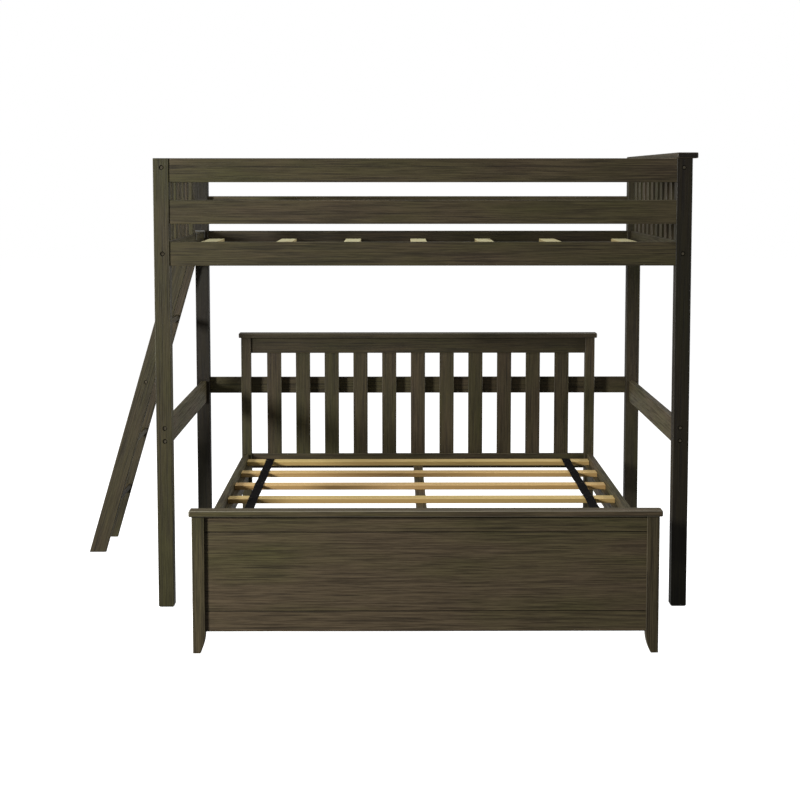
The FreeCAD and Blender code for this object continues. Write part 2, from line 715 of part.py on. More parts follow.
def hook_plates(clearance):
    shapes = []
    half_rail = size("bed_rail_thickness") / 2
    for rail_x in (size("left_bed_rail_x") + half_rail, size("right_bed_rail_x") + half_rail):
        shapes.append(hook_plate(rail_x, size("bed_inner_front"), -1, clearance))
        shapes.append(hook_plate(rail_x, size("bed_inner_back"), 1, clearance))
    return shaped(Part.makeCompound(shapes))


finish(hook_plates(0), "bed_hook_plates")
hook_slots = hook_plates(size("hook_slot_clearance"))


# ---------------------------------------------------------------------------------------
# Lower bed: posts, footboard and headboard
# ---------------------------------------------------------------------------------------
def tapered_post(corner, height, turned):
    """A bed post whose inner side curves in towards the foot."""
    body = new_body(corner)
    if turned:
        body.Placement.Rotation = FreeCAD.Rotation(AXES["Z"], 180)
    sketch = new_sketch(body, "XZ_Plane")
    foot, width = size("foot_width"), size("bed_post_width")
    taper, top = size("foot_taper_height"), number(height)
    run = width - foot
    radius = (taper ** 2 + run ** 2) / (2 * run)
    centre = FreeCAD.Vector(width - radius, taper, 0)
    circle = Part.Circle(centre, AXES["Z"], radius)
    start_angle = -FreeCAD.Vector(1, 0, 0).getAngle(FreeCAD.Vector(foot, 0, 0) - centre)
    corners = [FreeCAD.Vector(*point, 0) for point in
               ((0, 0), (foot, 0), (width, taper), (width, top), (0, top))]
    sketch.addGeometry(Part.LineSegment(corners[0], corners[1]), False)
    sketch.addGeometry(Part.ArcOfCircle(circle, start_angle, 0), False)
    for index in (2, 3, 4):
        sketch.addGeometry(Part.LineSegment(corners[index], corners[(index + 1) % 5]), False)
    sketch.addConstraint(Sketcher.Constraint("Coincident", 0, 2, 1, 1))
    sketch.addConstraint(Sketcher.Constraint("Tangent", 1, 2, 2, 1))
    for index in (2, 3, 4):
        sketch.addConstraint(Sketcher.Constraint("Coincident", index, 2, (index + 1) % 5, 1))
    pin_corner(sketch, 0, 1, "0", "0")
    pin_corner(sketch, 0, 2, "foot_width", "0")
    pin_corner(sketch, 2, 1, "bed_post_width", "foot_taper_height")
    pin_corner(sketch, 2, 2, "bed_post_width", height)
    pin_corner(sketch, 3, 2, "0", height)
    pad = pad_towards_plus(body, sketch, "bed_post_thickness")
    upright = edges_where(pad.Shape, lambda start, end: abs(end.z - start.z) > top / 2)
    eased(body, pad, upright, "edge_round")
    return body


def board_end(name, front, back, post_height):
    """The two posts and the cap of a footboard or headboard."""
    posts = ((f"{name}_post_left", ("bed_left", front, "0"), False),
             (f"{name}_post_right", ("bed_right", back, "0"), True))
    for label, corner, turned in posts:
        finish(cut_by(tapered_post(corner, post_height, turned), hook_slots), label)
    cap = board(("bed_left - bed_cap_overhang", f"{front} - bed_cap_overhang", post_height),
                ("bed_cap_length", "bed_cap_depth", "bed_cap_thickness"), "XYZ", "cap_round")
    finish(cap, f"{name}_cap")


board_end("footboard", "bed_front", "bed_inner_front", "footboard_post_height")
board_end("headboard", "bed_inner_back", "bed_inner_back + bed_post_thickness",
          "headboard_post_height")

footboard_rows = (
    ("footboard_bottom_rail", "footboard_clearance", "footboard_bottom_board"),
    ("footboard_panel", "footboard_panel_bottom", "footboard_panel_top - footboard_panel_bottom"),
    ("footboard_top_rail", "footboard_panel_top", "footboard_top_board"))
for label, z, height in footboard_rows:
    row = board(("bed_inner_left", "footboard_board_y", z),
                ("bed_clear_width", "footboard_board_thickness", height), "X", "board_groove")
    finish(row, label)

headboard_slats = []
for index in range(int(size("headboard_slat_count"))):
    x = f"headboard_slat_first_x + headboard_slat_pitch * {index}"
    headboard_slats.append(board(
        (x, "headboard_slat_y", "headboard_slat_z"),
        ("headboard_slat_width", "headboard_slat_thickness", "headboard_slat_length"), "Z"))
headboard_slats = finish(group(headboard_slats), "headboard_slats")

headboard_rows = (
    ("headboard_top_rail", "headboard_top_rail_z", "headboard_top_rail"),
    ("headboard_bottom_rail", "headboard_bottom_rail_z", "headboard_bottom_rail"))
for label, z, height in headboard_rows:
    row = board(("bed_inner_left", "headboard_board_y", z),
                ("bed_clear_width", "headboard_board_thickness", height), "X")
    finish(cut_by(row, headboard_slats), label)


# ---------------------------------------------------------------------------------------
# Lower bed: side rails, ledgers, centre beam, slats and straps
# ---------------------------------------------------------------------------------------
for side, x in (("left", "left_bed_rail_x"), ("right", "right_bed_rail_x")):
    rail = board((x, "bed_rail_y", "bed_rail_z"),
                 ("bed_rail_thickness", "bed_rail_length", "bed_rail_height"), "Y")
    finish(rail, f"lower_side_rail_{side}")

lower_ledgers = []
for x in ("left_ledger_x", "right_ledger_x"):
    lower_ledgers.append(board((x, "bed_inner_front", "lower_slat_z - ledger_height"),
                               ("ledger_thickness", "bed_inner_length", "ledger_height"), "Y"))
finish(group(lower_ledgers), "lower_slat_ledgers")

for index in range(int(size("lower_slat_count"))):
    y = f"lower_slat_first_y + lower_slat_step * {index}"
    slat = board(("lower_slat_x", y, "lower_slat_z"),
                 ("lower_slat_length", "slat_width", "slat_thickness"), "X")
    finish(slat, f"lower_slat_{index + 1}")

centre_beam = board(("loft_x - beam_width / 2", "beam_y", "beam_z"),
                    ("beam_width", "beam_length", "beam_height"), "Y")
finish(centre_beam, "centre_beam")
centre_leg = board(("loft_x - centre_leg_size / 2", "centre_leg_y", "0"),
                   ("centre_leg_size", "centre_leg_size", "beam_z"), "Z")
finish(centre_leg, "centre_leg")

straps = []
for x in ("left_strap_x", "right_strap_x"):
    straps.append(strip((x, "lower_slat_first_y", "strap_z"),
                        ("strap_width", "strap_length", "strap_thickness")))
finish(group(straps), "slat_straps")


# ---------------------------------------------------------------------------------------
# Check every object, then write one file for each piece
# ---------------------------------------------------------------------------------------
doc.recompute()
for item in doc.Objects:
    if "Invalid" in item.State or "Error" in item.State:
        raise RuntimeError(f"{item.Label} failed to build: {item.State}")
for piece in finished:
    if piece.Shape.isNull() or not piece.Shape.isValid() or not piece.Shape.Solids:
        raise RuntimeError(f"{piece.Label} has no valid shape")

os.makedirs("parts", exist_ok=True)
for piece in finished:
    piece.Shape.exportStep(f"parts/{piece.Label}.step")
print(f"{len(finished)} pieces written")
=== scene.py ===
# %% [markdown]
# # A bunk bed with a ladder
# A dark-stained loft bed stands on four square posts. A leaning ladder hooks on its left end, and
# a wide slatted bed stands crosswise under it. The boards, bolts and hooks come from the packed
# model, so this lesson is about the rest: finishes that look like real timber and metal, the
# woven straps over the lower slats, the staples and screws, and a studio to look at it all in.
#
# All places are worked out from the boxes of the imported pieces, in metres, with +Z up.

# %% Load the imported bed
import math

import bmesh
import bpy
from mathutils import Matrix, Vector


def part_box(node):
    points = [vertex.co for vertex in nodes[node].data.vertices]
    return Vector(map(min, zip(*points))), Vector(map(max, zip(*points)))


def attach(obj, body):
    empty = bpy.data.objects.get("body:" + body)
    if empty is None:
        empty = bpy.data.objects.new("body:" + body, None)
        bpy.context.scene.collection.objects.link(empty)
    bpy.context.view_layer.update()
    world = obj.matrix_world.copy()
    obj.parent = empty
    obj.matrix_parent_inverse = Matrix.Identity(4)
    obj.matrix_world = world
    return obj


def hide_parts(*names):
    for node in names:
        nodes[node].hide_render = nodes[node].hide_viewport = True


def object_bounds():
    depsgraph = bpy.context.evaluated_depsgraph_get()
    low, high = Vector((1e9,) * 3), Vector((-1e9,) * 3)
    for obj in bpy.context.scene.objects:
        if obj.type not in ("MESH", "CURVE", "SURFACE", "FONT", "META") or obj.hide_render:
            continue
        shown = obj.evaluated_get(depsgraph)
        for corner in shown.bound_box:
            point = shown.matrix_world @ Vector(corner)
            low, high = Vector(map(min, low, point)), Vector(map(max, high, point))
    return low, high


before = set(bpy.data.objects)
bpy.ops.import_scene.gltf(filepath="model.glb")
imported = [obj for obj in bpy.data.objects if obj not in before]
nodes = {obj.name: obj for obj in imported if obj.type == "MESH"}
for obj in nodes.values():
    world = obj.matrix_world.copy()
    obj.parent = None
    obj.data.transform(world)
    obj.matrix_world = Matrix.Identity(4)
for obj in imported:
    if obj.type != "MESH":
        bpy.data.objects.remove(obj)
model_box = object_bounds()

lowest, highest = (Vector(corner) for corner in model_box)
print(f"{len(nodes)} pieces, {highest.x - lowest.x:.3f} m long and {highest.z:.3f} m tall")

# %% [markdown]
# ## The camera
# The bed is seen from the front, from a little above the loft's slats, through a long lens.
# A long lens keeps the posts nearly parallel, which a wide one would splay apart. The small
# downward tilt shows the lower bed's slats over its footboard, and a little lens shift puts the
# bed in the middle of the frame without tilting the camera any more.

# %% Place the camera
CAMERA_PLACE = Vector((0.1012, -7.2648, 1.6572))
CAMERA_TILT = math.radians(90 - 5.753)
CAMERA_TURN = math.radians(-0.407)
LONG_LENS_MM = 81
SENSOR_MM = 36
SHIFT_ACROSS, SHIFT_UP = -0.0085, -0.0505

camera_data = bpy.data.cameras.new("camera")
camera_data.lens = LONG_LENS_MM
camera_data.sensor_width = SENSOR_MM
camera_data.shift_x = SHIFT_ACROSS
camera_data.shift_y = SHIFT_UP
camera = bpy.data.objects.new("camera", camera_data)
camera.location = CAMERA_PLACE
camera.rotation_euler = (CAMERA_TILT, 0, CAMERA_TURN)
bpy.context.scene.collection.objects.link(camera)
bpy.context.scene.camera = camera
print(f"camera {-CAMERA_PLACE.y:.2f} m in front, {CAMERA_PLACE.z:.2f} m up")

# %% [markdown]
# ## Shader maths as arithmetic
# A material is a small calculation that is made again at each point of a surface. Wiring it by
# hand takes dozens of nodes, so two small classes write it for us. `Amount` stands for whatever
# comes out of a node, and knows how to be added, multiplied and compared, so that
# `1 - streaks * 0.5` builds its own Math nodes. `Recipe` owns one material and adds every other
# kind of node by one method, which takes the node's type, its settings and what its sockets get.


# %% Amount: what a node gives, as something to calculate with
class Amount:
    """The output of a node, which can stand in a sum."""

    def __init__(self, recipe, socket):
        self.recipe = recipe
        self.socket = socket

    def maths(self, operation, *numbers, **settings):
        settings["operation"] = operation
        return self.recipe.node("ShaderNodeMath", settings, dict(enumerate(numbers)))

    def __add__(self, other):
        return self.maths("ADD", self, other)

    __radd__ = __add__

    def __sub__(self, other):
        return self.maths("SUBTRACT", self, other)

    def __rsub__(self, other):
        return self.maths("SUBTRACT", other, self)

    def __mul__(self, other):
        return self.maths("MULTIPLY", self, other)

    __rmul__ = __mul__

    def __gt__(self, other):
        return self.maths("GREATER_THAN", self, other)

    def sine(self):
        return self.maths("SINE", self)

    def size(self):
        return self.maths("ABSOLUTE", self)

    def larger(self, other):
        return self.maths("MAXIMUM", self, other)

    def between(self, low, high):
        """0 below low, 1 above high, and an even climb from one to the other."""
        width = high - low
        return self.maths("MULTIPLY", self - low, 1 / width, use_clamp=True)


# %% Recipe: one material and the nodes that it is made of
class Recipe:
    """A material whose nodes are added one by one."""

    def __init__(self, name):
        self.material = bpy.data.materials.new(name)
        self.material.use_nodes = True
        self.tree = self.material.node_tree
        self.tree.nodes.clear()

    def node(self, kind, settings=None, inputs=None, output=0):
        made = self.tree.nodes.new(kind)
        for setting, value in (settings or {}).items():
            setattr(made, setting, value)
        for name, value in (inputs or {}).items():
            if isinstance(value, Amount):
                self.tree.links.new(value.socket, made.inputs[name])
            else:
                made.inputs[name].default_value = value
        return Amount(self, made.outputs[output])

    def object_place(self):
        return self.node("ShaderNodeTexCoord", output="Object")

    def stretched(self, place, scales):
        settings = {"operation": "MULTIPLY"}
        return self.node("ShaderNodeVectorMath", settings, {0: place, 1: scales})

    def split(self, vector):
        return [self.node("ShaderNodeSeparateXYZ", inputs={0: vector}, output=axis)
                for axis in range(3)]

    def noise(self, place, scales, detail=2.0, roughness=0.5, distortion=0.0):
        wanted = {"Vector": self.stretched(place, scales), "Scale": 1.0, "Detail": detail,
                  "Roughness": roughness, "Distortion": distortion}
        return self.node("ShaderNodeTexNoise", inputs=wanted)

    def mix(self, share, low, high, blend="MIX"):
        """A colour between two others.

        A Mix node has a set of sockets for each type of data, so colours go in at 6 and 7 and
        come out at 2.
        """
        settings = {"data_type": "RGBA", "blend_type": blend}
        return self.node("ShaderNodeMix", settings, {0: share, 6: low, 7: high}, output=2)

    def finish(self, bump_height=None, bump_depth=0.0, **sockets):
        """Add the shader, whose socket names are given with _ for a space."""
        inputs = {name.replace("_", " "): value for name, value in sockets.items()}
        if bump_height is not None:
            relief = {"Height": bump_height, "Distance": bump_depth, "Strength": 1.0}
            inputs["Normal"] = self.node("ShaderNodeBump", inputs=relief)
        surface = self.node("ShaderNodeBsdfPrincipled", inputs=inputs)
        output = self.tree.nodes.new("ShaderNodeOutputMaterial")
        self.tree.links.new(surface.socket, output.inputs["Surface"])
        return self.material


print("shader arithmetic is ready")

# %% [markdown]
# ## The studio
# A pale floor and white surroundings keep the eye on the bed. The key light is a soft square to
# the left of the camera, low enough to reach under the loft, so that the left side is brighter
# than the right and each post throws a narrow shadow on the boards set back behind it. A larger
# square hangs overhead for the slats and the caps, and one at each side picks out the faces that
# the key light misses.
#
# The floor glows almost white, like a studio's lit paper sweep. It is hidden from bounced and
# reflected light, because its glow on dark satin wood would turn every low face grey.

# %% Floor
FLOOR_SIDE = 60.0
FLOOR_DROP = 0.001
FLOOR_GLOW = 0.95
PAPER_GREY, PAPER_DRIFT = 0.44, 0.02
PAPER_CYCLES = (0.4, 0.4, 0.4)
WHITE = (1, 1, 1, 1)
BLACK = (0, 0, 0, 1)

bpy.ops.mesh.primitive_plane_add(size=FLOOR_SIDE, location=(0, 0, -FLOOR_DROP))
floor = bpy.context.object
floor.name = "studio_floor"
paper = Recipe("pale_paper")
clouds = paper.noise(paper.object_place(), PAPER_CYCLES, detail=3.0)
paper_colour = paper.mix(clouds * PAPER_DRIFT + PAPER_GREY, BLACK, WHITE)
floor.data.materials.append(paper.finish(
    Base_Color=paper_colour, Roughness=0.9, Specular_IOR_Level=0.0,
    Emission_Color=WHITE, Emission_Strength=FLOOR_GLOW))
floor.visible_diffuse = False
floor.visible_glossy = False
print(f"a paper floor {FLOOR_SIDE:.0f} m square")

# %% Soft lights
SOFT_LIGHTS = {
    # name: place, point it faces, side of its square in metres, watts
    "key_light": ((-5.2, -4.4, 2.2), (0.1, -0.4, 0.8), 1.2, 690),
    "overhead_light": ((0.2, 0.1, 4.6), (0.1, 0.2, 0.6), 3.0, 98),
    "left_side_light": ((-4.8, 0.7, 1.9), (1.2, 0.3, 1.1), 1.4, 190),
    "right_side_light": ((4.8, 0.5, 1.3), (-0.9, 0.2, 0.9), 1.4, 230),
}

for name, (place, faces, side, watts) in SOFT_LIGHTS.items():
    light = bpy.data.lights.new(name, "AREA")
    light.shape = "SQUARE"
    light.size = side
    light.energy = watts
    lamp = bpy.data.objects.new(name, light)
    lamp.location = place
    towards = Vector(faces) - Vector(place)
    lamp.rotation_euler = towards.to_track_quat("-Z", "Y").to_euler()
    bpy.context.scene.collection.objects.link(lamp)
print(f"{len(SOFT_LIGHTS)} soft lights")

# %% [markdown]
# ## White surroundings that light little
# The background has to look white, but surroundings that also lit the bed as white would wash
# out its shadows and shine along every edge. A Light Path node tells which kind of ray is asking,
# so one brightness is given to the camera, another to reflections, and a low one to the rest.
# Each kind adds what it lacks to the strength below it.

# %% Surroundings
SURROUNDINGS_LIGHT = 0.12
BRIGHTER_RAYS = {"Is Camera Ray": 1.0, "Is Glossy Ray": 0.34}

world = bpy.data.worlds.new("white_surroundings")
world.use_nodes = True
tree = world.node_tree
backdrop = tree.nodes["Background"]
backdrop.inputs["Color"].default_value = WHITE
light_path = tree.nodes.new("ShaderNodeLightPath")
strength_below = None
for ray, brightness in BRIGHTER_RAYS.items():
    strength = tree.nodes.new("ShaderNodeMath")
    strength.operation = "MULTIPLY_ADD"
    tree.links.new(light_path.outputs[ray], strength.inputs[0])
    strength.inputs[1].default_value = brightness - SURROUNDINGS_LIGHT
    strength.inputs[2].default_value = SURROUNDINGS_LIGHT
    if strength_below:
        tree.links.new(strength_below, strength.inputs[2])
    strength_below = strength.outputs["Value"]
tree.links.new(strength_below, backdrop.inputs["Strength"])
bpy.context.scene.world = world
bpy.context.scene.view_settings.view_transform = "Standard"
print(f"surroundings at {SURROUNDINGS_LIGHT}, and brighter for {list(BRIGHTER_RAYS)}")

# %% [markdown]
# ## Stained pine
# The loft and both bed ends are pine under a thin grey-brown stain. Stain doesn't hide the
# wood: it sinks into the soft early wood, so the grain shows as dark broken strokes and finer
# fibres along each board, and it drifts between olive and umber from one patch to the next. On
# the eased edges it rubs thin in patches, and these paler patches are also a painted highlight
# where the rounding catches the light. On end grain, which drinks it in, it is nearly black.
#
# A picture of wood would repeat and smear on the ends. A solid texture is worked out through
# the whole board instead, by stretching plain noise along the grain. The same recipe serves
# every board: only the direction of the grain changes. Each piece's own random number slides
# it to another part of the tree, so that no two boards match.

# %% How the grain runs
ALONG_X, ALONG_Y, ALONG_Z = range(3)
TREE_SPREAD = 23.0


def grain_scales(grain, along, across):
    """Noise cycles per metre: few along the grain and many across it."""
    return tuple(along if axis == grain else across for axis in range(3))


def turned(recipe, vector, lean):
    """A vector of the model, turned to match a board that leans."""
    if not lean:
        return vector
    turn = {"rotation_type": "Y_AXIS"}
    return recipe.node("ShaderNodeVectorRotate", turn, {"Vector": vector, "Angle": lean})


def board_place(recipe, lean=0.0):
    """Where a point is in the tree that its board was cut from."""
    place = turned(recipe, recipe.object_place(), lean)
    shift = recipe.node("ShaderNodeObjectInfo", output="Random") * TREE_SPREAD
    moved = {"operation": "ADD"}
    return recipe.node("ShaderNodeVectorMath", moved, {0: place, 1: shift})


def facing(recipe, lean=0.0):
    """How squarely a surface faces along each axis of its board, as three numbers."""
    normal = turned(recipe, recipe.node("ShaderNodeTexCoord", output="Normal"), lean)
    return [part.size() for part in recipe.split(normal)]


print("each board can be cut from its own place in the tree")

# %% The stain's colours and how they lie
OLIVE = (0.059, 0.053, 0.021, 1)
UMBER = (0.074, 0.055, 0.032, 1)
STROKE = (0.18, 0.16, 0.12, 1)
# Partly rubbed wear and partly a painted highlight where the eased edges catch the light
RUBBED_AND_LIT_EDGE = (0.100, 0.086, 0.056, 1)
# A pale painted highlight all along the edges of the bed caps
CAP_EDGE_HIGHLIGHT = (0.210, 0.195, 0.150, 1)
# Painted shade, near black, in the grooves round the footboard's panel
GROOVE_SHADE = (0.005, 0.004, 0.002, 1)
END_GRAIN = (0.014, 0.011, 0.006, 1)

# Noise cycles per metre, along the grain and across it
PATCH_CYCLES = (1.9, 8.0)
STROKE_CYCLES = (3.4, 165.0)
FIBRE_CYCLES = (8.0, 290.0)

# Where each mark starts and where it is full: a noise level, or how squarely a surface faces
# an axis of its board
UMBER_BAND = (0.32, 0.68)
STROKE_BAND = (0.48, 0.62)
FIBRE_BAND = (0.40, 0.65)
WORN_AND_LIT_BAND = (0.30, 0.70)
FLAT_BAND = (0.80, 0.97)
END_BAND = (0.90, 0.98)

# How much of its colour each layer puts down, and how deep the grain is in metres
STROKE_SHARE = 0.72
FIBRE_SHARE = 0.66
RUBBED_AND_LIT_SHARE = 0.55
GRAIN_DEPTH = 0.00035

print(f"strokes are {STROKE_CYCLES[1] / STROKE_CYCLES[0]:.0f} times as long as they are wide")


# %% Stained pine
def stained_pine(name, grain, tone=1.0, lean=0.0, edges=RUBBED_AND_LIT_EDGE, even_edges=0.0, umber=0.0):
    """Dark grey-brown stain with the grain showing. A tone under 1 is a darker board.

    The eased edges take the edges colour in patches: by default a paler colour that is partly
    rubbed wear and partly a painted highlight where the rounding catches light. Where even_edges
    is given, it says how strongly that colour shows all along the edges instead, and umber says
    how much the patches lean from olive to umber. The tone also paints light and shade onto some
    whole boards.
    """
    recipe = Recipe(name)
    place = board_place(recipe, lean)
    squarely = facing(recipe, lean)

    patches = recipe.noise(place, grain_scales(grain, *PATCH_CYCLES), detail=3.0)
    strokes = recipe.noise(place, grain_scales(grain, *STROKE_CYCLES), detail=7.0,
                           roughness=0.70, distortion=0.20)
    fibres = recipe.noise(place, grain_scales(grain, *FIBRE_CYCLES), detail=5.0,
                          roughness=0.72)
    stroke_mask = strokes.between(*STROKE_BAND)
    fibre_mask = fibres.between(*FIBRE_BAND)

    start, full = UMBER_BAND
    colour = recipe.mix(patches.between(start - umber, full - umber), OLIVE, UMBER)
    colour = recipe.mix(stroke_mask * STROKE_SHARE, colour, STROKE, blend="MULTIPLY")
    colour = recipe.mix(fibre_mask * FIBRE_SHARE, colour, STROKE, blend="MULTIPLY")

    rounded = 1 - squarely[0].larger(squarely[1]).larger(squarely[2]).between(*FLAT_BAND)
    # Paler patches on the eased edges: rubbed wear, and a painted highlight where they catch
    # light
    worn_and_lit = rounded * patches.between(*WORN_AND_LIT_BAND)
    edge_share = rounded * even_edges if even_edges else worn_and_lit * RUBBED_AND_LIT_SHARE
    colour = recipe.mix(edge_share, colour, edges)
    colour = recipe.mix(squarely[grain].between(*END_BAND), colour, END_GRAIN)
    # The tone also paints light and shade onto some whole boards
    colour = recipe.mix(1.0, colour, (tone, tone, tone, 1), blend="MULTIPLY")

    roughness = 0.46 + stroke_mask * 0.16 - worn_and_lit * 0.08
    relief = 1 - stroke_mask * 0.6 - fibre_mask * 0.4
    return recipe.finish(bump_height=relief, bump_depth=GRAIN_DEPTH, Base_Color=colour,
                         Roughness=roughness, Specular_IOR_Level=0.20)


print("stained pine is ready for any grain direction")

# %% [markdown]
# ## Which board gets which finish
# The grain of a board follows its long side, so that side can be measured instead of being
# written down for each of the boards. Light and shade are painted onto some boards as a darker
# or lighter tone. The right-hand front post and the left-hand rear one are painted darkest, as
# shade. The other rear post, the rear side rail, the cap, rails and slats of the right-hand end,
# the bottom rail of the left one and the headboard under the loft are painted darker than the
# rest, as shade, and the footboard's left post is painted lighter, as the key light's side.
#
# A few have a finish to themselves. The front left post came out greener. On the footboard the
# grooves round the panel are painted near black, as painted shade, and a pale painted highlight
# runs all along the edges of both bed caps. The headboard's cap is painted darker than the
# footboard's, as shade under the loft. The ladder's stringers lean, so their grain has to be
# turned to lean with them.

# %% Boards that are lighter or darker than the rest
# Darker tones paint the shade on the right-hand side, at the back and under the loft; the
# footboard's left post is painted lighter, as the key light's side
SHADE_AND_LIGHT_TONES = {
    "footboard_post_left": 1.15,
    "loft_post_front_right": 0.27,
    "loft_post_rear_left": 0.26,
    "loft_side_rail_rear": 0.60,
    "end_rail_right_bottom": 0.60,
    "end_rail_left_bottom": 0.70,
    "loft_post_rear_right": 0.54,
    "end_cap_right": 0.62,
    "end_rail_right_top": 0.62,
    "end_slats_right": 0.80,
    "headboard_slats": 0.80,
    "headboard_top_rail": 0.68,
    "headboard_post_left": 0.85,
    "headboard_post_right": 0.85,
}
print(f"{len(SHADE_AND_LIGHT_TONES)} boards have a tone of their own")

# %% Sort the pieces and find their grain
UPRIGHT_GROUPS = ("end_slats_left", "end_slats_right", "headboard_slats")
HARDWARE = ("loft_bolts", "ladder_bolts", "ladder_hooks", "bed_hook_plates", "slat_straps")
STRINGERS = ("ladder_stringer_front", "ladder_stringer_rear")


def is_bare(name):
    return name == "loft_slats" or name.startswith("lower_slat_") and name[-1].isdigit()


def long_axis(name):
    if name in UPRIGHT_GROUPS:
        return ALONG_Z
    low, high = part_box(name)
    sides = list(high - low)
    return sides.index(max(sides))


def middle(name):
    low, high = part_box(name)
    return (low + high) / 2


climb = middle("ladder_tread_5") - middle("ladder_tread_1")
ladder_lean = math.atan2(climb.x, climb.z)
print(f"the ladder leans {math.degrees(ladder_lean):.1f} degrees")


# %% Paint the boards that have a finish to themselves
def paint(material, *names):
    """Give one finish to whole pieces of the model."""
    for name in names:
        slots = nodes[name].data.materials
        slots.clear()
        slots.append(material)


# How strongly the pale painted highlight shows along the caps' edges
CAP_HIGHLIGHT_SHARE = 0.45
PANEL_TONE = 1.34
STRINGER_TONE = 0.84
GREENEST_TONE = 0.84
# The headboard's cap is painted darker than the footboard's, as shade under the loft
BED_CAP_LIT_AND_SHADED_TONES = {"footboard_cap": 1.30, "headboard_cap": 0.66}
PANEL_BOARDS = ("footboard_bottom_rail", "footboard_panel", "footboard_top_rail")
GREENEST_BOARD = "loft_post_front_left"

# The grooves round the footboard's panel are painted near black, as painted shade
grooved = stained_pine("stained_pine_grooved", ALONG_X, PANEL_TONE, edges=GROOVE_SHADE,
                       even_edges=1.0, umber=0.10)
greenest = stained_pine("stained_pine_greenest", ALONG_Z, GREENEST_TONE, umber=-0.14)
leaning = stained_pine("stained_pine_leaning", ALONG_Z, STRINGER_TONE, -ladder_lean)
paint(grooved, *PANEL_BOARDS)
paint(greenest, GREENEST_BOARD)
paint(leaning, *STRINGERS)
for name, tone in BED_CAP_LIT_AND_SHADED_TONES.items():
    cap_finish = stained_pine(f"stained_{name}", ALONG_X, tone, edges=CAP_EDGE_HIGHLIGHT,
                              even_edges=CAP_HIGHLIGHT_SHARE)
    paint(cap_finish, name)
own_finish = (*PANEL_BOARDS, *STRINGERS, *BED_CAP_LIT_AND_SHADED_TONES, GREENEST_BOARD)
print(f"{len(own_finish)} boards have a finish to themselves")

# %% Paint the other stained boards
finishes = {}


def stained_finish(grain, tone):
    if (grain, tone) not in finishes:
        name = f"stained_pine_{'xyz'[grain]}_{round(tone * 100)}"
        finishes[grain, tone] = stained_pine(name, grain, tone)
    return finishes[grain, tone]


stained_boards = [name for name in sorted(nodes)
                  if not is_bare(name) and name not in (*HARDWARE, *own_finish)]
for name in stained_boards:
    paint(stained_finish(long_axis(name), SHADE_AND_LIGHT_TONES.get(name, 1.0)), name)
print(f"{len(stained_boards)} stained boards share {len(finishes)} finishes")

# %% [markdown]
# ## Bare pine slats
# Nobody sees the slats once a mattress is on, so they are left bare. Fresh pine is honey
# yellow, with darker lines of late wood that run the length of a slat, and small brown knots.
# Knots are cells of a Voronoi texture: the distance to the nearest cell's centre gives a spot,
# and only a few cells are allowed to have one. The faces that don't face up or down are painted
# a little darker, as painted shade on the slats' edges. No two trees are the same colour, so the
# lower slats take turns with three tints, and the loft's slats are paler than any of them.

# %% The pine's colours and how they lie
HONEY = (0.57, 0.41, 0.175, 1)
AMBER = (0.53, 0.36, 0.145, 1)
GREENER_PINE = (0.52, 0.40, 0.155, 1)
REDDER_PINE = (0.58, 0.40, 0.190, 1)
PALE = (0.55, 0.52, 0.31, 1)
STRAW = (0.51, 0.46, 0.25, 1)
LATE_WOOD = (0.40, 0.215, 0.070, 1)
KNOT = (0.13, 0.060, 0.022, 1)
# Painted shade, multiplied onto the slats' edges, which don't face up or down
SIDE_SHADE = (0.66, 0.60, 0.52, 1)

# Noise cycles per metre, along the grain and across it
DRIFT_CYCLES = (1.3, 7.0)
RING_CYCLES = (0.8, 80.0)
HAIR_CYCLES = (30.0, 700.0)
KNOT_CYCLES = (3.2, 14.0)

# Where each mark starts and where it is full: a noise level, how squarely a surface faces up,
# or for a knot the distance from its centre, where it is full and where it ends
DRIFT_BAND = (0.35, 0.65)
RING_BAND = (0.50, 0.66)
HAIR_BAND = (0.50, 0.80)
FACING_UP_BAND = (0.5, 0.9)
KNOT_BAND = (0.10, 0.20)

CELLS_WITHOUT_KNOT = 0.72
KNOT_SHARE = 0.85
HAIR_SHARE = 0.22
RING_DEPTH = 0.00025

print(f"{1 - CELLS_WITHOUT_KNOT:.0%} of the cells hold a knot")


# %% Bare pine
def knots(recipe, place, grain):
    """1 in a knot and 0 in clear wood."""
    cells = recipe.stretched(place, grain_scales(grain, *KNOT_CYCLES))
    inputs = {"Vector": cells, "Scale": 1.0}
    spot = recipe.node("ShaderNodeTexVoronoi", inputs=inputs)
    chance = recipe.node("ShaderNodeTexVoronoi", inputs=inputs, output="Color")
    return (1 - spot.between(*KNOT_BAND)) * (recipe.split(chance)[0] > CELLS_WITHOUT_KNOT)


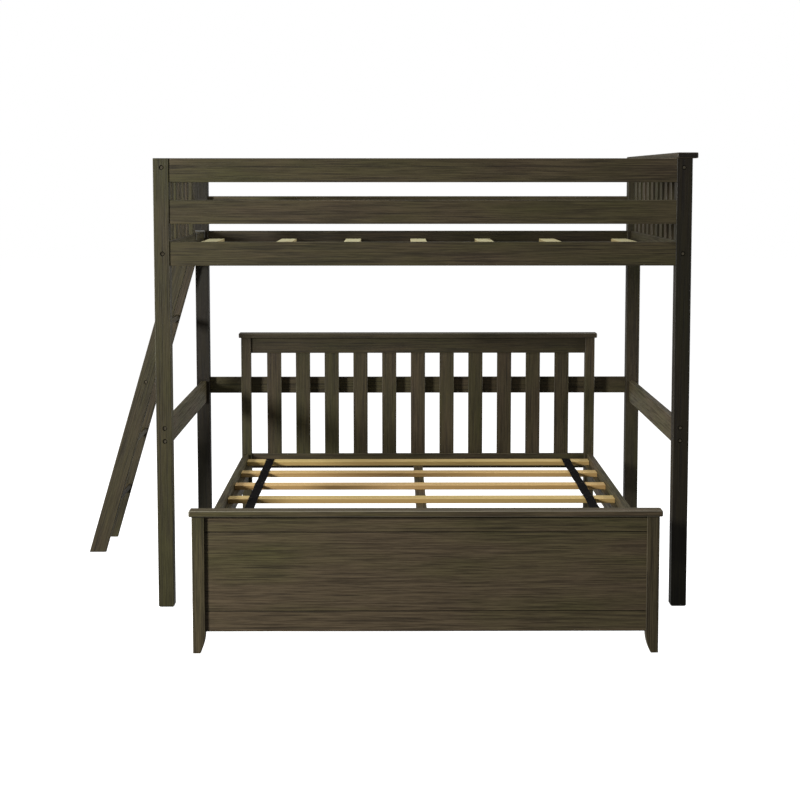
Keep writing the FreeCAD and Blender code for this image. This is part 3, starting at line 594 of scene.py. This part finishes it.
def bare_pine(name, grain, fresh, aged, late_share):
    """Unfinished pine, whose late wood shows by the share that is given."""
    recipe = Recipe(name)
    place = board_place(recipe)
    drift = recipe.noise(place, grain_scales(grain, *DRIFT_CYCLES), detail=2.0)
    rings = recipe.noise(place, grain_scales(grain, *RING_CYCLES), detail=4.0, roughness=0.6,
                         distortion=0.5)
    hairs = recipe.noise(place, grain_scales(grain, *HAIR_CYCLES), detail=2.0)
    ring_mask = rings.between(*RING_BAND)

    colour = recipe.mix(drift.between(*DRIFT_BAND), fresh, aged)
    colour = recipe.mix(ring_mask * late_share, colour, LATE_WOOD)
    colour = recipe.mix(hairs.between(*HAIR_BAND) * HAIR_SHARE, colour, LATE_WOOD)
    colour = recipe.mix(knots(recipe, place, grain) * KNOT_SHARE, colour, KNOT)
    # Painted shade: faces that don't face up or down get the darker colour
    facing_up = facing(recipe)[ALONG_Z].between(*FACING_UP_BAND)
    shaded_sides = recipe.mix(1.0, colour, SIDE_SHADE, blend="MULTIPLY")
    colour = recipe.mix(facing_up, shaded_sides, colour)
    relief = 1 - ring_mask * 0.4 - hairs * 0.3
    return recipe.finish(bump_height=relief, bump_depth=RING_DEPTH, Base_Color=colour,
                         Roughness=0.56 + ring_mask * 0.08, Specular_IOR_Level=0.3)


print("bare pine is ready for the slats")

# %% Lay the slats' finishes
lower_slats = [f"lower_slat_{number}" for number in range(1, 8)]
slat_finishes = [bare_pine("bare_pine_greener", ALONG_X, GREENER_PINE, HONEY, 0.35),
                 bare_pine("bare_pine_redder", ALONG_X, REDDER_PINE, AMBER, 0.30),
                 bare_pine("bare_pine_honey", ALONG_X, HONEY, AMBER, 0.40)]
for index, name in enumerate(lower_slats):
    paint(slat_finishes[index % len(slat_finishes)], name)
paint(bare_pine("bare_pine_loft", ALONG_Y, PALE, STRAW, 0.15), "loft_slats")
print(f"{len(lower_slats)} lower slats and the loft's slats are bare pine")

# %% [markdown]
# ## Bolts, hooks and plates
# The socket-head bolts have a dark bronze plating, and sit in stepped holes, so each shows as a
# dark ring with a glint in it. The ladder's hooks and the bed's hook plates are zinc plated
# steel, bent and stamped after plating, which leaves it cloudy.

# %% Metal
BRONZE, BRONZE_CLOUD = (0.11, 0.09, 0.06, 1), (0.17, 0.15, 0.11, 1)
ZINC, ZINC_CLOUD = (0.17, 0.17, 0.16, 1), (0.27, 0.27, 0.26, 1)
CLOUD_CYCLES = (70, 70, 70)
SCRATCH_CYCLES = (900, 900, 60)
CLOUD_BAND = (0.35, 0.65)
SCRATCH_DEPTH = 0.00008


def plated_metal(name, colour, cloud, roughness):
    """Clouded plating with fine scratches that run up and down."""
    recipe = Recipe(name)
    place = recipe.object_place()
    clouds = recipe.noise(place, CLOUD_CYCLES, detail=4.0, roughness=0.6)
    scratches = recipe.noise(place, SCRATCH_CYCLES, detail=2.0)
    tint = recipe.mix(clouds.between(*CLOUD_BAND), colour, cloud)
    relief = scratches * 0.5 + clouds * 0.5
    return recipe.finish(bump_height=relief, bump_depth=SCRATCH_DEPTH, Base_Color=tint,
                         Metallic=1.0, Roughness=roughness + clouds * 0.16)


bronze = plated_metal("bronze_plating", BRONZE, BRONZE_CLOUD, roughness=0.26)
zinc = plated_metal("zinc_plating", ZINC, ZINC_CLOUD, roughness=0.34)
paint(bronze, "loft_bolts", "ladder_bolts")
paint(zinc, "ladder_hooks", "bed_hook_plates")
print("bolts, hooks and plates are metal")

# %% [markdown]
# ## The straps across the lower slats
# Two black webbing straps run from the foot to the head of the lower bed and are stapled to
# every slat, so that the slats can't creep together. Webbing is a flat woven ribbon: thicker
# along its two edges, flat where it is stapled on a slat, and a little slack between slats,
# where it dips. Cloth simulation would add nothing to such a narrow band held at every step, so
# it is built directly: a cross-section with rounded edges, swept along a line of stations.

# %% Where each slat holds the straps
def leftmost_width(name):
    """Width of the left-hand one of a pair that shares a node."""
    centre = middle(name).x
    across = [vertex.co.x for vertex in nodes[name].data.vertices]
    return max(x for x in across if x < centre) - min(across)


STRAP_EASE = 0.0015
SLACK = 0.004
GAP_STEPS = 10

strap_low, strap_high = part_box("slat_straps")
slat_boxes = [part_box(name) for name in lower_slats]
slat_top = slat_boxes[0][1].z
strap_thickness = strap_high.z - strap_low.z
strap_width = leftmost_width("slat_straps")
strap_centres = (strap_low.x + strap_width / 2, strap_high.x - strap_width / 2)


def strap_line():
    """Points along a strap, as (y, z) of its underside: flat on slats, dipping between."""
    line = []
    for index, (low, high) in enumerate(slat_boxes):
        line += [(low.y + STRAP_EASE, slat_top), ((low.y + high.y) / 2, slat_top),
                 (high.y - STRAP_EASE, slat_top)]
        if index + 1 < len(slat_boxes):
            start, end = high.y, slat_boxes[index + 1][0].y
            for step in range(1, GAP_STEPS):
                share = step / GAP_STEPS
                dip = SLACK * 4 * share * (1 - share)
                line.append((start + (end - start) * share, slat_top - dip))
    return line


strap_points = strap_line()

# %% Woven webbing
WEB_PITCH = 0.0016
WEB_DEPTH = 0.0004
# The weave's pits are painted darker than the threads' tops, as painted shade
WEAVE_PIT_SHADE = (0.001, 0.001, 0.001, 1)
THREAD_TOP = (0.006, 0.005, 0.005, 1)
DUST = (0.022, 0.020, 0.018, 1)
DUST_CYCLES = (35, 35, 35)
DUST_BAND = (0.55, 0.80)
DUST_SHARE = 0.20


def webbing_finish():
    """Black polyester in a plain weave: two sets of ridges that take turns on top."""
    recipe = Recipe("black_webbing")
    across, along, _ = recipe.split(recipe.object_place())
    turn = 2 * math.pi / WEB_PITCH
    weave = (across * turn).sine() * (along * turn).sine()
    lines = (across * (turn / 2)).sine().size()
    thread = weave * 0.5 + 0.5
    dust = recipe.noise(recipe.object_place(), DUST_CYCLES, detail=4.0)
    # Painted shade in the pits between the threads
    colour = recipe.mix(thread, WEAVE_PIT_SHADE, THREAD_TOP)
    colour = recipe.mix(dust.between(*DUST_BAND) * DUST_SHARE, colour, DUST)
    return recipe.finish(bump_height=thread * 0.7 + lines * 0.3, bump_depth=WEB_DEPTH,
                         Base_Color=colour, Roughness=0.72 + thread * 0.12,
                         Specular_IOR_Level=0.04)


webbing = webbing_finish()
print(f"webbing with a thread every {WEB_PITCH * 1000:.1f} mm")

# %% Shape one strap
FLAT_SHARE = 0.78
EDGE_STEPS = 4


def strap_section(width, thickness):
    """Half-rounded edges that stand a little proud of the flat between them, as (x, z)."""
    edge = thickness / 2
    flat = thickness * FLAT_SHARE
    side = width / 2 - edge
    right = [(side + edge * math.sin(angle), edge - edge * math.cos(angle))
             for angle in (math.pi * step / EDGE_STEPS for step in range(EDGE_STEPS + 1))]
    inner = side - thickness
    top = [(inner, flat), (inner / 2, flat), (0, flat), (-inner / 2, flat), (-inner, flat)]
    left = [(-x, z) for x, z in reversed(right)]
    return right + top + left


def join_rings(mesh, rings):
    """Faces between each ring of vertices and the next, and a lid on the first."""
    for ring, following in zip(rings, rings[1:]):
        for index in range(len(ring)):
            after = (index + 1) % len(ring)
            mesh.faces.new((ring[index], ring[after], following[after], following[index]))
    mesh.faces.new(list(reversed(rings[0])))


def swept_strap(name, centre):
    """The cross-section, carried along the strap's line and closed at both ends."""
    mesh = bmesh.new()
    section = strap_section(strap_width, strap_thickness)
    rings = [[mesh.verts.new((centre + x, y, z + base)) for x, z in section]
             for y, base in strap_points]
    join_rings(mesh, rings)
    mesh.faces.new(rings[-1])
    bmesh.ops.recalc_face_normals(mesh, faces=mesh.faces)
    data = bpy.data.meshes.new(name)
    mesh.to_mesh(data)
    mesh.free()
    data.polygons.foreach_set("use_smooth", [True] * len(data.polygons))
    piece = bpy.data.objects.new(name, data)
    bpy.context.scene.collection.objects.link(piece)
    return piece


print(f"{len(strap_points)} stations along each strap")

# %% Lay both straps
for side, centre in zip(("left", "right"), strap_centres):
    strap = swept_strap(f"webbing_strap_{side}", centre)
    strap.data.materials.append(webbing)
    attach(strap, "lower_bed")
    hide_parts("slat_straps")
    print(f"{strap.name} has {len(strap.data.polygons)} faces")

# %% [markdown]
# ## Staples and screws
# Small fixings are what tell a real bed from a drawing of one. Two wire staples hold each
# strap on each slat. Countersunk screws hold the ledgers to the rails, and one holds each end
# of every loft slat. A staple is a short round wire bent down at both ends, and a screw's head
# is a shallow turned disc with a cross cut in it. One small mesh of each is made and then
# copied to all its places, and the copies are joined into one piece per kind.

# %% One staple
STAPLE_SPAN = 0.010
STAPLE_WIRE = 0.0011
STAPLE_STEPS = 8
STAPLE_RISE = 0.8


def circle(steps):
    """Points round a circle of radius 1."""
    return [(math.cos(math.tau * step / steps), math.sin(math.tau * step / steps))
            for step in range(steps)]


def staple_mesh():
    """A bridge of wire across X, with its ends bent down, standing on z = 0."""
    mesh = bmesh.new()
    half, wire = STAPLE_SPAN / 2, STAPLE_WIRE / 2
    path = [Vector((-half, 0, -wire)), Vector((-half + wire, 0, wire * STAPLE_RISE)),
            Vector((half - wire, 0, wire * STAPLE_RISE)), Vector((half, 0, -wire))]
    rings = []
    for point in path:
        tilt = 0 if abs(point.x) < half else math.copysign(math.pi / 4, point.x)
        turn = Matrix.Rotation(tilt, 3, "Y")
        rings.append([mesh.verts.new(point + turn @ Vector((0, wire * y, wire * z)))
                      for y, z in circle(STAPLE_STEPS)])
    join_rings(mesh, rings)
    mesh.faces.new(rings[-1])
    bmesh.ops.recalc_face_normals(mesh, faces=mesh.faces)
    return mesh


print(f"a staple is {STAPLE_SPAN * 1000:.0f} mm across")

# %% One screw head
SCREW_RADIUS = 0.0042
SCREW_PROUD = 0.0004
SCREW_STEPS = 24
# Shares of the radius and of the height, from the outer edge in to the top
SCREW_PROFILE = ((1.0, 0.0), (0.97, 0.6), (0.80, 1.0), (0.62, 1.0))
CROSS_ARM = 0.0025
CROSS_WIDTH = 0.0009
CROSS_DEPTH = 0.0012
PIT_SHARE = 0.6


def cross_outline():
    """The twelve corners of a cross, anticlockwise."""
    long, short = CROSS_ARM, CROSS_WIDTH / 2
    return [(long, short), (short, short), (short, long), (-short, long), (-short, short),
            (-long, short), (-long, -short), (-short, -short), (-short, -long),
            (short, -long), (short, -short), (long, -short)]


def screw_mesh():
    """A low domed head with a cross recess, standing on z = 0 and facing +Z."""
    mesh = bmesh.new()
    rings = [[mesh.verts.new((SCREW_RADIUS * share * x, SCREW_RADIUS * share * y,
                              SCREW_PROUD * rise)) for x, y in circle(SCREW_STEPS)]
             for share, rise in SCREW_PROFILE]
    join_rings(mesh, rings)
    cross = cross_outline()
    rim = [mesh.verts.new((x, y, SCREW_PROUD)) for x, y in cross]
    pit = [mesh.verts.new((x * PIT_SHARE, y * PIT_SHARE, SCREW_PROUD - CROSS_DEPTH))
           for x, y in cross]
    join_rings(mesh, [pit, rim])
    loops = [mesh.edges.get((ring[index], ring[(index + 1) % len(ring)]))
             for ring in (rings[-1], rim) for index in range(len(ring))]
    bmesh.ops.triangle_fill(mesh, use_beauty=True, edges=loops)
    bmesh.ops.recalc_face_normals(mesh, faces=mesh.faces)
    return mesh


print(f"a screw's head is {SCREW_RADIUS * 2000:.1f} mm across")


# %% Copies of a small mesh, joined into one piece
def copied_to(name, small, places, body, material):
    """Join a copy of a small mesh at each place, a matrix, into one piece."""
    part = bpy.data.meshes.new(name + "_one")
    small.to_mesh(part)
    small.free()
    joined = bmesh.new()
    for place in places:
        start = len(joined.verts)
        joined.from_mesh(part)
        joined.verts.ensure_lookup_table()
        bmesh.ops.transform(joined, matrix=place, verts=joined.verts[start:])
    data = bpy.data.meshes.new(name)
    joined.to_mesh(data)
    joined.free()
    bpy.data.meshes.remove(part)
    piece = bpy.data.objects.new(name, data)
    bpy.context.scene.collection.objects.link(piece)
    data.materials.append(material)
    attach(piece, body)
    print(f"{name}: {len(places)} of them")


# %% Staples on the straps
STAPLE_OFFSET = 0.011
STAPLE_STEP = 0.018

staple_places = [
    Matrix.Translation((centre + side * STAPLE_OFFSET,
                        (low.y + high.y) / 2 + side * STAPLE_STEP,
                        slat_top + strap_thickness * FLAT_SHARE))
    for centre in strap_centres for low, high in slat_boxes for side in (-1, 1)]
copied_to("strap_staples", staple_mesh(), staple_places, "lower_bed", bronze)

# %% Screws in the ledgers and the loft's slats
LEDGER_SCREWS = 7
LEDGER_SCREW_INSET = 0.09
SLAT_SCREW_INSET = 0.012
LEAST_SLAT_GAP = 0.1
RADIANS_PER_METRE = 9


def ledger_screw_places():
    """Screws through the inner faces of the lower bed's two ledgers."""
    low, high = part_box("lower_slat_ledgers")
    thickness = leftmost_width("lower_slat_ledgers")
    level = (low.z + high.z) / 2
    step = (high.y - low.y - 2 * LEDGER_SCREW_INSET) / (LEDGER_SCREWS - 1)
    along = [low.y + LEDGER_SCREW_INSET + step * index for index in range(LEDGER_SCREWS)]
    return [Matrix.Translation((face, y, level)) @ Matrix.Rotation(math.radians(turn), 4, "Y")
            for face, turn in ((low.x + thickness, 90), (high.x - thickness, -90))
            for y in along]


def loft_slat_centres():
    """Middles of the loft's slats along X, found from the jumps between their vertices."""
    across = sorted(vertex.co.x for vertex in nodes["loft_slats"].data.vertices)
    jumps = [(x, following) for x, following in zip(across, across[1:])
             if following - x > LEAST_SLAT_GAP]
    starts = [across[0]] + [following for _, following in jumps]
    ends = [x for x, _ in jumps] + [across[-1]]
    return [(start + end) / 2 for start, end in zip(starts, ends)]


def loft_slat_screw_places():
    """One screw down through each end of every loft slat, each cross turned a bit further."""
    low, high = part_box("loft_slats")
    return [Matrix.Translation((x, y, high.z)) @ Matrix.Rotation(x * RADIANS_PER_METRE, 4, "Z")
            for x in loft_slat_centres()
            for y in (low.y + SLAT_SCREW_INSET, high.y - SLAT_SCREW_INSET)]


copied_to("ledger_screws", screw_mesh(), ledger_screw_places(), "lower_bed", zinc)
copied_to("loft_slat_screws", screw_mesh(), loft_slat_screw_places(), "loft",
          bronze)
